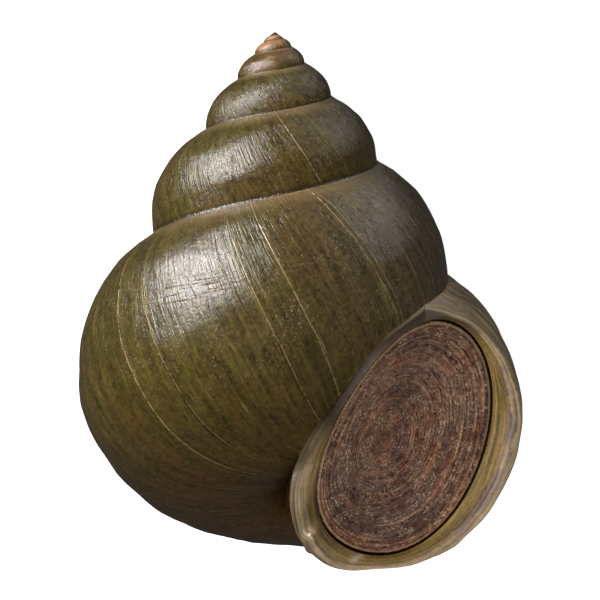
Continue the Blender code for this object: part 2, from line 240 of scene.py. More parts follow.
def whorl(turn):
    """Half-width, depth, and the reach of the shoulder, the base's width and the base's depth."""
    width, depth = np.exp(log_width(turn)), np.exp(log_depth(turn))
    late = np.clip(turn, EARLIEST, 0)
    shoulder = width * (SHOULDER + SHOULDER_TREND * late)
    base = width * (BASE - BASE_NARROWING * np.exp(late / BASE_TURNS))
    drop = width * (DROP + DROP_TREND * late)
    return width, depth, shoulder, base, drop


def seam_angle(turn):
    return np.radians(np.interp(turn, SEAM_TURNS, SEAM_ANGLES))


def base_arc(turn, angle):
    """(radius, height) on the lower half of a whorl, at an angle below its widest point."""
    width, depth, _, base, drop = whorl(turn)
    power = 2 / BASE_ROUNDNESS
    radius = width - base + base * np.maximum(np.cos(angle), 0) ** power
    return radius, -depth - drop * np.maximum(np.sin(angle), 0) ** power


def whorl_section(turn, row):
    """(radius, height) on the outside of a whorl, from its upper seam to its lowest point."""
    next_seam = seam_angle(turn + 1)
    width, depth, shoulder, _, _ = whorl(turn)
    seam_radius, seam_height = base_arc(turn - 1, seam_angle(turn))
    power = SHOULDER_ROUNDNESS - SHOULDER_FLATTENING * np.exp(np.minimum(turn, 0) / FLATTENING_TURNS)
    reach = np.clip((seam_radius - width + shoulder) / shoulder, LEAST_REACH, 1 - LEAST_REACH)
    top = np.arccos(reach ** (power / 2))
    rise = (seam_height + depth) / (1 - reach**power) ** (1 / power)
    angle = top - np.minimum(row, 1) * (top + next_seam)
    up = np.maximum(angle, 0)
    high_radius = width - shoulder + shoulder * np.cos(up) ** (2 / power)
    high_height = -depth + rise * np.sin(up) ** (2 / power)
    past_join = next_seam + (math.pi / 2 - next_seam) * (row - 1)
    down = np.where(row > 1, past_join, np.maximum(-angle, 0))
    low_radius, low_height = base_arc(turn, np.clip(down, 0, math.pi / 2))
    is_low = (angle < 0) | (row > 1)
    return np.where(is_low, low_radius, high_radius), np.where(is_low, low_height, high_height)


join_radius, join_height = whorl_section(COLUMELLA_TURN - 1, JOIN_ROW)
NAVEL_RADIUS = join_radius * math.cos(2 * math.pi * COLUMELLA_TURN)


def navel(turn):
    """(radius, height) of the base's inner end, which leaves the axis in a straight line at the mouth."""
    _, depth, _, _, drop = whorl(turn)
    height = -depth - drop * (NAVEL_RIM + NAVEL_TREND * np.minimum(turn, 0))
    out = 2 * math.pi * np.clip(turn, 0, COLUMELLA_TURN)
    along = np.tan(out) / math.tan(2 * math.pi * COLUMELLA_TURN)
    return NAVEL_RADIUS / np.cos(out), height + (join_height - height) * along


def coil(turn, row):
    """(radius, height) on the outside of the coil, from the seam to the navel."""
    high_radius, high_height = whorl_section(turn, np.minimum(row, 2))
    high_radius = high_radius + BASE_SPREAD * np.maximum(turn, 0) * np.clip(row - 1, 0, 1)
    end_radius, end_height = navel(turn)
    angle = np.maximum(row - 2, 0) * math.pi / 2
    radius = high_radius + (end_radius - high_radius) * np.sin(angle)
    return radius, high_height + (end_height - high_height) * (1 - np.cos(angle))


def edge_curves():
    """The mouth's edge under the base: how far its radius and height are from the coil's, by row."""
    rows = np.array(UNDER_ROWS)
    radius, height = coil(lip_turn(rows), rows)
    rows = np.concatenate([[2], rows, [3]])
    off_radius = np.concatenate([[0], UNDER_RADII - radius, [0]])
    off_height = np.concatenate([[0], UNDER_HEIGHTS - height, [0]])
    return spline(rows, off_radius, 0), spline(rows, off_height, 0)


edge_radius, edge_height = edge_curves()


def around(turn, radius, height):
    angle = -2 * math.pi * turn
    return np.stack([radius * np.cos(angle), radius * np.sin(angle), height + 0 * angle], -1)


def even_skin(turn, row):
    """Points of the even outside. Before the mouth the base swings to the mouth's edge."""
    turn, row = np.broadcast_arrays(np.asarray(turn, float), np.asarray(row, float))
    radius, height = coil(turn, row)
    share = smooth_step(turn / np.maximum(lip_turn(row), 0.001)) * (row > 2) * (turn > 0)
    return around(turn, radius + edge_radius(row) * share, height + edge_height(row) * share)


def unit(vectors):
    return vectors / np.linalg.norm(vectors, axis=-1, keepdims=True)


def growth(turn, row):
    """The directions in which the shell's edge grew at places on its outside."""
    return unit(even_skin(turn, row) - even_skin(turn - 2 * STEP_TURN, row))


def facing(turn, row):
    """The outward directions at places on the outside."""
    ahead = even_skin(turn + STEP_TURN, row) - even_skin(turn - STEP_TURN, row)
    down = even_skin(turn, np.minimum(row + STEP_ROW, 3)) - even_skin(turn, np.maximum(row - STEP_ROW, 0))
    return unit(np.cross(ahead, down))


def start_turn(row):
    """Turn at which the last whorl's sheet starts: one turn before the lip, or at the inner lip."""
    return inner_turn(np.clip(row, 1, JOIN_ROW))


def age(turn, row):
    """Growth counted so that it is the same along one growth line; they trail back towards the base."""
    return turn + line_trail(row)


line_trail = spline(TRAIL_ROWS, TRAIL_TURNS, 0.07)


def unevenness(turn, row):
    """How far the outside stands off the even coil: growth folds, shallow dents, a thread at the seam."""
    when = age(turn, row)
    off = np.zeros_like(turn)
    for place, width, height in FOLDS:
        off += height * np.exp(-(((when - place) / width) ** 2))
    size = np.exp(log_width(turn)) / HALF_WIDTH[-1]
    for along, down, height in DENTS:
        dents = [noise.noise((a * along, r * down, along)) for a, r in zip(when.ravel(), row.ravel())]
        off += np.reshape(dents, turn.shape) * size * height
    joins = smooth_step((1 - row) / 0.05)
    joins = joins + (1 - joins) * smooth_step((turn - start_turn(row)) / 0.03)
    off *= smooth_step(row / 0.06) * joins * smooth_step((SMOOTH_BASE - row) / 0.6)
    return off + SEAM_THREAD * size * np.exp(-(((row - 0.035) / 0.018) ** 2)) * smooth_step(row / 0.02)


def skin(turn, row):
    """Points of the outside with its unevenness."""
    turn, row = np.broadcast_arrays(np.asarray(turn, float), np.asarray(row, float))
    return even_skin(turn, row) + facing(turn, row) * unevenness(turn, row)[..., None]


LID_OUTWARD = unit(np.array([LID_SLOPE_X, -1, LID_SLOPE_Z]))
LID_DOWN = np.array([-math.sin(LID_LEAN), -math.cos(LID_LEAN)])
LID_ACROSS = np.array([math.cos(LID_LEAN), -math.sin(LID_LEAN)])


def lid_plane(x, z, share, angle):
    """Points of the lid's sheet at places seen from the front, with its edge bent forward."""
    aside = (angle - LID_BEND_SIDE + math.pi) % (2 * math.pi) - math.pi
    bend = LID_BEND * share**1.4 * np.exp(-((aside / LID_BEND_SPREAD) ** 2) / 2)
    y = LID_Y + LID_SLOPE_X * (x - LID_X) + LID_SLOPE_Z * (z - LID_Z) - bend
    return np.stack([x, y, z], -1)


def lid_reach(angle):
    """The half-length and half-width of the lid's outline at an angle from its lower end."""
    full_down = LID_HALF_LENGTH * (1 - LID_BLUNTNESS * np.cos(2 * angle))
    full_across = LID_HALF_WIDTH * (1 + LID_POINTEDNESS * np.cos(angle) + LID_FULLNESS * np.sin(angle))
    return full_down, full_across


def on_lid(share, angle, spare=0.0):
    """Points of the lid, at a share of the way from its middle to its edge plus some spare."""
    full_down, full_across = lid_reach(angle)
    down = (share * full_down + spare) * np.cos(angle)
    across = (share * full_across + spare) * np.sin(angle)
    x = LID_X + down * LID_DOWN[0] + across * LID_ACROSS[0]
    z = LID_Z + down * LID_DOWN[1] + across * LID_ACROSS[1]
    return lid_plane(x, z, share, angle)


def lid_place(points):
    """(share, angle) of points on the lid or beside it, seen from the front."""
    x, z = points[..., 0] - LID_X, points[..., 2] - LID_Z
    down = x * LID_DOWN[0] + z * LID_DOWN[1]
    across = x * LID_ACROSS[0] + z * LID_ACROSS[1]
    angle = np.arctan2(across, down)
    for _ in range(LID_PASSES):
        full_down, full_across = lid_reach(angle)
        angle = np.arctan2(across / full_across, down / full_down)
    return np.hypot(down / full_down, across / full_across), angle


def behind_lid(points):
    """The points themselves, or the nearest straight behind them that clear the lid's back."""
    share, angle = lid_place(points)
    lid = lid_plane(points[..., 0], points[..., 2], np.minimum(share, 1), angle)
    clear = (LID_THICKNESS + LID_DISH + LID_GAP) / -LID_OUTWARD[1]
    moved = points.copy()
    moved[..., 1] = np.maximum(points[..., 1], lid[..., 1] + clear)
    return moved


class Sheets:
    """A mesh put together from sheets that meet along their borders, with one or more maps."""

    def __init__(self, maps):
        self.bm = bmesh.new()
        self.maps = [self.bm.loops.layers.uv.new(name) for name in maps]

    def add(self, points, *uvs):
        """A grid of faces through points[along][across]; each map gives two numbers per point."""
        along, across = points.shape[:2]
        made = bmesh.ops.create_grid(self.bm, x_segments=across - 1, y_segments=along - 1, size=1)["verts"]
        place = {}
        for i, (vert, point) in enumerate(zip(made, points.reshape(-1, 3))):
            vert.co = point
            place[vert] = i
        flat = [uv.reshape(-1, 2) for uv in uvs]
        for face in {face for vert in made for face in vert.link_faces}:
            for loop in face.loops:
                for layer, uv in zip(self.maps, flat):
                    loop[layer].uv = uv[place[loop.vert]]

    def fan(self, ring, tip, *uvs):
        """The triangles between a closed ring of points and one point in its middle."""
        ring = np.concatenate([ring, ring[:1]])
        self.add(np.stack([ring, np.broadcast_to(tip, ring.shape)]), *[np.stack([uv, uv]) for uv in uvs])

    def finish(self, name, material):
        bmesh.ops.remove_doubles(self.bm, verts=self.bm.verts, dist=WELD)
        bmesh.ops.recalc_face_normals(self.bm, faces=self.bm.faces)
        bmesh.ops.transform(self.bm, matrix=LAID, verts=self.bm.verts)
        for face in self.bm.faces:
            face.smooth = True
        mesh = bpy.data.meshes.new(name)
        self.bm.to_mesh(mesh)
        self.bm.free()
        mesh.materials.append(material)
        piece = bpy.data.objects.new(name, mesh)
        bpy.context.scene.collection.objects.link(piece)
        return piece


def row_places():
    """Rows from the seam to the navel, closer together beside the seams."""
    above = [i / ROWS_ABOVE for i in range(ROWS_ABOVE)]
    above = [row - 0.12 * math.sin(2 * math.pi * row) / math.pi for row in above]
    base = [1 + i / ROWS_BASE for i in range(ROWS_BASE)]
    under = [2 + i / ROWS_NAVEL for i in range(ROWS_NAVEL + 1)]
    return np.array(above + base + under)


def maps_of(turn, row, across_lip=None):
    """The shell's two maps: (age, row), then (turns short of the mouth's edge, share across the lip)."""
    if across_lip is None:
        across_lip = np.zeros_like(turn)
    short = turn - lip_turn(np.minimum(row, 3))
    return np.stack([age(turn, np.minimum(row, 3)), row], -1), np.stack([short, across_lip], -1)


class Mouth:
    """Lines that run from the mouth's edge over the lip, past the lid and into the hollow."""

    def __init__(self, rows):
        inner = rows[(rows > 1) & (rows < JOIN_ROW - 1e-6)][::-1]
        self.row = np.concatenate([rows, inner, rows[:1]])
        self.inner = np.concatenate([np.zeros(len(rows), bool), np.ones(len(inner), bool), [False]])
        self.turn = np.where(self.inner, start_turn(self.row), lip_turn(self.row))
        self.turn[np.isclose(self.row, 3)] = COLUMELLA_TURN
        self.edge = skin(self.turn, self.row)
        self.angle = lid_place(self.edge)[1]
        self.throat = on_lid(1.0, self.angle, LID_GAP)
        past = 3 + (JOIN_ROW - self.row) / (JOIN_ROW - 1)
        self.place = np.where(self.inner, past, self.row)
        self.place[-1] = past[-1]

    def lip(self, share):
        """On the rounded lip, from the mouth's edge to the lid's edge."""
        full = smooth_step(self.row / 0.22) * smooth_step((3 - self.row) / 0.8) * ~self.inner
        rolled = growth(self.turn, self.row) * LIP_ROLL
        flat = (self.throat - self.edge) / 3 + facing(self.turn, self.row) * INNER_LIP_ROLL
        crest = smooth_step((self.row - 1.7) / 0.7) * smooth_step((3 - self.row) / 0.8) * ~self.inner
        out = LID_OUTWARD * LIP_CREST * crest[:, None]
        lead = self.edge + rolled * full[:, None] + flat * (1 - full[:, None]) + out
        out = out + LID_OUTWARD * LIP_ROLL
        weights = (1 - share) ** 3, 3 * share * (1 - share) ** 2, 3 * share**2 * (1 - share), share**3
        points = sum(w * p for w, p in zip(weights, (self.edge, lead, self.throat + out, self.throat)))
        return points + LID_OUTWARD * (LIP_SWELL * math.sin(2 * math.pi * share)) * full[:, None]

    def inside(self, back):
        """On the inside of the shell's wall, some turns back from the mouth's edge."""
        turn = self.turn - back
        wall = np.where(self.inner, 0, SHELL_WALL)
        points = even_skin(turn, self.row) - facing(turn, self.row) * wall[:, None]
        corner = even_skin(turn - 1, 1 + 0.5 / ROWS_BASE)
        return np.where(((self.row == 0) & ~self.inner)[:, None], corner, points)

    def hollow(self, back):
        """In the hollow, which starts narrow behind the lid and soon widens to the shell's wall."""
        throat = self.throat - LID_OUTWARD * (LID_THICKNESS + LID_GAP)
        share = min(back / MOUTH_DEPTH, 1)
        places = self.inside(back) + (throat - self.inside(0)) * (1 - smooth_step(share))
        return behind_lid(places) if 0 < share < 1 else places

    def maps(self, depths):
        rings = np.array(depths)[:, None] + 0 * self.row[None]
        skins = np.stack([0 * rings, self.place + 0 * rings], -1)
        return skins, np.stack([0 * rings, rings], -1)


def make_shell(material):
    sheets = Sheets(("skin", "mouth"))
    rows = row_places()
    end = LIP_TURNS[0] - 1
    start = end - SPIRE_WHORLS

    turns, spire_rows = np.meshgrid(
        np.linspace(start, end, SPIRE_WHORLS * COLUMNS + 1), np.append(rows[:ROWS_ABOVE], 1.0)
    )
    spire = skin(turns, spire_rows)
    sheets.add(spire, *maps_of(turns, spire_rows))
    first_turns = np.linspace(start, start + 1, COLUMNS + 1) - 1
    ring_turns = np.concatenate([first_turns, np.full(ROWS_ABOVE - 1, start)])
    ring_rows = np.concatenate([np.ones(COLUMNS + 1), rows[ROWS_ABOVE - 1 : 0 : -1]])
    ring = skin(ring_turns, ring_rows)
    ring_maps = maps_of(ring_turns, ring_rows)
    sheets.fan(ring, (0, 0, TIP_HEIGHT), *[np.concatenate([uv, uv[:1]]) for uv in ring_maps])

    shares, last_rows = np.meshgrid(np.linspace(0, 1, COLUMNS + 1), rows)
    lips = np.where(last_rows == 3, COLUMELLA_TURN, lip_turn(last_rows))
    turns = start_turn(last_rows) + (lips - start_turn(last_rows)) * shares
    last = skin(turns, last_rows)
    last_maps = maps_of(turns, last_rows)
    sheets.add(last, *last_maps)

    join = int(np.argmin(abs(rows - JOIN_ROW)))
    closing = len(rows) - join
    first = COLUMNS + 1 - closing
    crease, beneath = last[-1, first:], last[join:, 0][::-1]
    steps = np.linspace(0, 1, NAVEL_STEPS)[:, None, None]
    strip_maps = [np.broadcast_to(uv[-1, first:], (NAVEL_STEPS, closing, 2)) for uv in last_maps]
    sheets.add(crease + (beneath - crease) * steps, *strip_maps)
    between = (last[-1, first] + (last[join:, 0][-1] - last[-1, first]) * steps[:, 0])[1:-1]
    ring = np.concatenate([last[-1, : first + 1], between])
    flat = [np.broadcast_to(uv[-1, :1], (len(ring) + 1, 2)) for uv in last_maps]
    sheets.fan(ring, (0, 0, last[-1, 0, 2] - NAVEL_DEPTH), *flat)

    mouth = Mouth(rows)
    shares = np.linspace(0, 1, LIP_RINGS + 1)
    sheets.add(np.stack([mouth.lip(share) for share in shares]), *mouth.maps(shares))
    depths = [HOLLOW_TURNS * (k / HOLLOW_RINGS) ** 1.4 for k in range(HOLLOW_RINGS + 1)]
    tube = np.stack([mouth.lip(1)] + [mouth.hollow(depth) for depth in depths])
    sheets.add(tube, *mouth.maps(1 + np.arange(len(tube)) * 0.5))
    deepest = tube[-1, :-1]
    sheets.fan(deepest, deepest.mean(axis=0), *[uv[-1] for uv in mouth.maps([HOLLOW_RINGS])])
    return sheets.finish("snail_shell", material)


def make_lid(material):
    sheets = Sheets(("rings",))
    angles = np.linspace(0, 2 * math.pi, LID_SIDES + 1)
    nucleus_x, nucleus_z = LID_X + NUCLEUS[0], LID_Z + NUCLEUS[1]

    def place(share, angle, depth):
        rim = on_lid(1.0, angle)
        x = nucleus_x + (rim[..., 0] - nucleus_x) * share
        z = nucleus_z + (rim[..., 2] - nucleus_z) * share
        middle_share, middle_angle = lid_place(np.stack([x, 0 * x, z], -1))
        sheet = lid_plane(x, z, np.minimum(middle_share, 1), middle_angle)
        down = LID_DISH * (1 - middle_share**2) + depth
        return sheet - LID_OUTWARD * down[..., None]

    shares = np.linspace(0, 1, LID_RINGS + 1)
    share, angle = np.meshgrid(shares, angles, indexing="ij")
    across, down = 3 * share * np.cos(angle), 3 * share * np.sin(angle)
    wander = [noise.noise((x, y, 2)) for x, y in zip(across.flat, down.flat)]
    wander = np.reshape(wander, share.shape) * RING_WANDER * smooth_step((1 - share) / 0.2)
    ring = share + wander
    ridges = RIDGE_HEIGHT * np.cos(2 * math.pi * ring * RIDGES) * smooth_step((1 - share) / 0.02)
    for where, width, height in STEPS:
        ridges += height * np.exp(-(((ring - where) / width) ** 2))
    front = place(share, angle, -ridges * smooth_step(share / 0.05))
    sheets.add(front, np.stack([share, angle / (2 * math.pi)], -1))
    back = place(share, angle, LID_THICKNESS + 0 * share)
    sheets.add(back, np.stack([share, angle / (2 * math.pi)], -1))
    sides = np.stack([front[-1], back[-1]])
    sheets.add(sides, np.ones(sides.shape[:2] + (2,)))
    return sheets.finish("horn_lid", material)


class Wire:
    """A socket of a finish's nodes. Arithmetic on it adds Math nodes."""

    def __init__(self, finish, socket):
        self.finish, self.socket = finish, socket

    def math(self, operation, *others):
        values = dict(enumerate((self, *others)))
        return self.finish.node("ShaderNodeMath", {"operation": operation}, values)

    def __add__(self, other):
        return self.math("ADD", other)

    __radd__ = __add__

    def __sub__(self, other):
        return self.math("SUBTRACT", other)

    def __rsub__(self, other):
        return self.finish.node("ShaderNodeMath", {"operation": "SUBTRACT"}, {0: other, 1: self})

    def __mul__(self, other):
        return self.math("MULTIPLY", other)

    __rmul__ = __mul__

    def smooth(self, low, high):
        """0 below low, 1 above high and smooth between; falls instead where high is the lower."""
        if low > high:
            return 1 - self.smooth(high, low)
        settings = {"interpolation_type": "SMOOTHSTEP", "clamp": True}
        return self.finish.node("ShaderNodeMapRange", settings, {0: self, 1: low, 2: high, 3: 0, 4: 1})

    def near(self, place, width):
        """1 at a place, falling smoothly to 0 at a width from it."""
        return (self - place).math("ABSOLUTE").smooth(width, 0)

    def clamp(self):
        return self.math("MINIMUM", 1).math("MAXIMUM", 0)


class Finish:
    """A material that is built up from nodes, round one principled shader."""

    def __init__(self, name, **constants):
        self.material = bpy.data.materials.new(name)
        self.material.use_nodes = True
        self.tree = self.material.node_tree
        self.shader = self.tree.nodes["Principled BSDF"]
        for socket, value in constants.items():
            self.shader.inputs[socket.replace("_", " ").title().replace("Ior", "IOR")].default_value = value

    def node(self, kind, settings, values, output=0):
        made = self.tree.nodes.new(kind)
        for key, value in settings.items():
            setattr(made, key, value)
        for key, value in values.items():
            if isinstance(value, Wire):
                self.tree.links.new(value.socket, made.inputs[key])
            else:
                made.inputs[key].default_value = value
        return Wire(self, made.outputs[output])

    def feed(self, **wires):
        for socket, wire in wires.items():
            self.tree.links.new(wire.socket, self.shader.inputs[socket.replace("_", " ").title()])

    def chart(self, name):
        """The two numbers of one of the piece's own maps."""
        both = self.node("ShaderNodeUVMap", {"uv_map": name}, {})
        return [self.node("ShaderNodeSeparateXYZ", {}, {0: both}, axis) for axis in (0, 1)]

    def place(self):
        return self.node("ShaderNodeTexCoord", {}, {}, "Object")

    def point(self, x, y, z=0.0):
        return self.node("ShaderNodeCombineXYZ", {}, {0: x, 1: y, 2: z})

    def noise(self, where, scale, detail=2.0, roughness=0.5):
        values = {"Vector": where, "Scale": scale, "Detail": detail, "Roughness": roughness}
        return self.node("ShaderNodeTexNoise", {}, values)

    def mix(self, share, first, second):
        """A share of the second colour over the first, which a Mix node takes at sockets 7 and 6."""
        colors = [c if isinstance(c, Wire) else (*c, 1) for c in (first, second)]
        values = {0: share, 6: colors[0], 7: colors[1]}
        return self.node("ShaderNodeMix", {"data_type": "RGBA"}, values, 2)

    def lit(self, color, share):
        """A colour made darker or lighter."""
        return self.node("ShaderNodeVectorMath", {"operation": "SCALE"}, {0: color, "Scale": share})

    def bump(self, height, distance):
        return self.node("ShaderNodeBump", {}, {"Height": height, "Distance": distance, "Strength": 1.0})


# The skin's colours, and the height of its fine relief.
OLIVE_BROWN = (0.062, 0.037, 0.007)
OLIVE_GREEN = (0.064, 0.049, 0.008)
DARK_BROWN = (0.070, 0.034, 0.010)
RED_BROWN = (0.080, 0.032, 0.012)
# A grey painted sheen, also mixed into the tan just behind the mouth's edge.
PAINTED_SHEEN_GREY = (0.095, 0.064, 0.044)
# Dark growth bands; the same colour is painted shadow along the spire's seams.
DARK_LINES_AND_SEAM_SHADOW = (0.016, 0.009, 0.004)
LINE_PALE = (0.38, 0.27, 0.12)
SEAM_TAN = (0.22, 0.15, 0.07)
SPECK_GOLD = (0.30, 0.20, 0.08)
WORN_TAN = (0.38, 0.18, 0.085)
WORN_RED = (0.105, 0.036, 0.020)
WORN_GOLD = (0.125, 0.075, 0.020)
RIM_GOLD = (0.46, 0.31, 0.10)
# Pale cream of the lip, also used as a painted highlight along its roll and crest.
CREAM_AND_LIP_HIGHLIGHT = (0.52, 0.41, 0.26)
LIP_TAN = (0.40, 0.28, 0.155)
LIP_MAUVE = (0.24, 0.165, 0.14)
LIP_OLIVE = (0.28, 0.185, 0.060)
# Painted shade in the gap under the lip's upper end.
GAP_SHADE_BROWN = (0.060, 0.034, 0.012)
# A dark line behind the golden edge, and painted shade towards the lid and in the hollow behind it.
DARK_LINE_AND_GAP_SHADE = (0.020, 0.010, 0.004)
SKIN_RELIEF = 0.07 * MM

# Ages at the join of the strongest pale growth lines, with their half-widths in turns and strength.
PALE_LINES = (
    (-0.612, 0.0011, 0.8),
    (-0.647, 0.0008, 0.6),
    (-0.745, 0.0008, 0.7),
    (-0.777, 0.0009, 0.8),
    (-0.857, 0.0009, 0.9),
    (-0.863, 0.0008, 0.9),
    (-0.900, 0.0008, 0.7),
    (-0.460, 0.0010, 0.7),
    (-0.330, 0.0009, 0.7),
    (-0.200, 0.0011, 0.6),
    (-0.075, 0.0009, 0.7),
    (-1.812, 0.0012, 0.8),
    (-1.865, 0.0010, 0.6),
    (-1.430, 0.0010, 0.6),
)


def skin_finish():
    finish = Finish("shell_skin", specular_ior_level=0.8)
    age, row = finish.chart("skin")
    short, lip = finish.chart("mouth")
    place = finish.place()
    patches = finish.noise(place, 75, 3)
    blotches = finish.noise(place, 330, 4, 0.6)
    mottle = finish.noise(place, 1600, 4, 0.7)
    grains = finish.noise(place, 3600, 2)
    when = age + (patches - 0.5) * 0.004
    bands = finish.noise(finish.point(when * 24, row * 0.8, 1.3), 1, 3)
    streaks = finish.noise(finish.point(when * 120, row * 2.5, 2.1), 1, 3, 0.65)
    threads = finish.noise(finish.point(when * 420, row * 3.5, 3.4), 1, 2, 0.6)
    hairs = finish.noise(finish.point(when * 1000, row * 9, 6.6), 1, 2, 0.6)

    outside = lip.smooth(0.002, 0)
    spire = age.smooth(-1.9, -4.2)
    tint = (patches * 0.5 + bands * 0.5 + mottle * 0.3 - 0.15).smooth(0.32, 0.68)
    color = finish.mix(tint, OLIVE_BROWN, OLIVE_GREEN)
    base = (row + (patches - 0.5) * 0.8).smooth(1.2, 2.0)
    color = finish.mix(base, color, DARK_BROWN)
    reddish = blotches.smooth(0.48, 0.66) * (row.smooth(1.0, 1.6) * 0.5 + spire * 0.4 + 0.12)
    color = finish.mix(reddish.clamp(), color, RED_BROWN)
    # A painted grey sheen on the body whorl beside the mouth.
    painted_sheen = age.smooth(-0.72, -0.90) * age.smooth(-1.02, -0.95) * (0.25 + mottle * 0.7)
    color = finish.mix(painted_sheen * row.near(0.8, 1.0) * 0.7, color, PAINTED_SHEEN_GREY)
    lines = streaks.smooth(0.32, 0.68) * 0.36 + threads.smooth(0.32, 0.68) * 0.32
    lines = lines + hairs.smooth(0.3, 0.7) * 0.26
    color = finish.lit(color, 0.12 + lines * 1.2 + mottle.smooth(0.32, 0.68) * 0.58)
    color = finish.mix(bands.smooth(0.56, 0.70) * 0.30, color, DARK_LINES_AND_SEAM_SHADOW)

    broken = finish.noise(finish.point(when * 30, row * 30, 5.2), 1, 3, 0.7).smooth(0.34, 0.52)
    pale = streaks.smooth(0.62, 0.74) * threads.smooth(0.50, 0.66) * 0.5
    for line_age, width, strength in PALE_LINES:
        pale = pale + when.near(line_age, width) * broken * strength
    pale = pale.clamp() * row.smooth(2.3, 1.6)
    color = finish.mix(pale * 0.9, color, LINE_PALE)

    spiral = finish.noise(finish.point(age * 26, row * 105, 9.1), 1, 3, 0.6)
    rows = (row + (patches - 0.5) * 0.06).near(0.62, 0.16) * spiral.smooth(0.54, 0.68)
    rows = rows * age.smooth(-0.90, -0.78) * (0.35 + grains * 0.8)
    specks = grains.smooth(0.60, 0.68) * blotches.smooth(0.42, 0.58)
    specks = specks * (row.near(0.75, 0.6) * 0.5 + spire * 0.4 + row.smooth(0.3, 0.05) * 0.5 + 0.2)
    color = finish.mix((rows * 0.6 + specks).clamp() * 0.75, color, SPECK_GOLD)

    wear = (blotches - 0.5) * 1.8 + (patches - 0.5) * 1.2 + spire * 1.0 - row * 0.35 - 0.46
    worn = wear.smooth(-0.05, 0.40) * age.smooth(-2.9, -3.7)
    golden = age.smooth(-2.9, -3.5) * blotches.smooth(0.36, 0.56) * 0.75
    color = finish.mix(golden, color, WORN_GOLD)
    bare = (blotches * 0.6 + age.smooth(-3.6, -4.8) * 0.3).smooth(0.30, 0.52)
    chalk = finish.mix(bare, WORN_RED, WORN_TAN)
    chalk = finish.mix(patches.smooth(0.46, 0.56) * age.smooth(-4.6, -4.0), chalk, WORN_GOLD)
    chalk = finish.mix((row - 0.5 + blotches * 0.5).smooth(0.35, 0.75) * 0.7, chalk, WORN_RED)
    chalk = finish.lit(chalk, 0.35 + mottle.smooth(0.3, 0.7) * 0.7 + grains * 0.5)
    color = finish.mix(worn, color, chalk)
    shoulder = (row + (blotches - 0.5) * 0.16 + (mottle - 0.5) * 0.1).smooth(0.20, 0.02)
    color = finish.mix(shoulder * 0.62, color, SEAM_TAN)
    seam = row.near(0.020, 0.018) * (0.25 + blotches * 0.8)
    color = finish.mix(seam, color, SEAM_TAN)
    # A painted shadow along the seams of the spire.
    seam_shadow = row.near(0.985, 0.035) * age.smooth(-0.90, -0.97)
    color = finish.mix(seam_shadow * 0.7, color, DARK_LINES_AND_SEAM_SHADOW)

    # Just behind the mouth's edge the skin turns tan mixed with a painted grey sheen, brightened as painted
    # light.
    near_edge = short.smooth(-0.13, -0.006) * outside * row.smooth(2.9, 2.2)
    edge_tan_and_sheen = finish.mix(streaks.smooth(0.3, 0.7), PAINTED_SHEEN_GREY, LIP_TAN)
    color = finish.mix(near_edge * 0.85, color, finish.lit(edge_tan_and_sheen, 0.70 + threads * 1.3 + mottle * 0.9))
    rim = (short + (threads - 0.5) * 0.002).near(-0.0035, 0.002) + short.smooth(-0.0014, -0.0004)
    color = finish.mix(rim.clamp() * outside * row.smooth(2.6, 2.2), color, RIM_GOLD)

    rolled = lip_color(finish, row, lip, blotches, streaks, mottle, color)
    color = finish.mix(lip.smooth(0, 0.004), color, rolled)

    dull = (inner_wall(row) + row.smooth(0.45, 0.15)) * lip.smooth(0, 0.1)
    rough = 0.17 + blotches * 0.12 + mottle * 0.10 - spire * 0.09 + dull * 0.40
    ribs = hairs * 0.5 + threads * 0.9 + streaks * 1.0 + bands * 1.2 - pale * 0.5
    dents = finish.noise(finish.point(age * 70, row * 26, 4.4), 1, 2)
    relief = ribs + dents * 0.4 + mottle * 0.5 + specks * 0.5 + rows * 0.8
    relief = relief * outside * (1 - spire * 0.6) + grains * 0.2
    normal = finish.bump(relief, SKIN_RELIEF)
    finish.feed(base_color=color, roughness=rough, normal=normal)
    return finish.material


def inner_wall(row):
    """1 where the rounded lip has given way to the wall of the whorl before."""
    return row.smooth(3.0, 3.4)


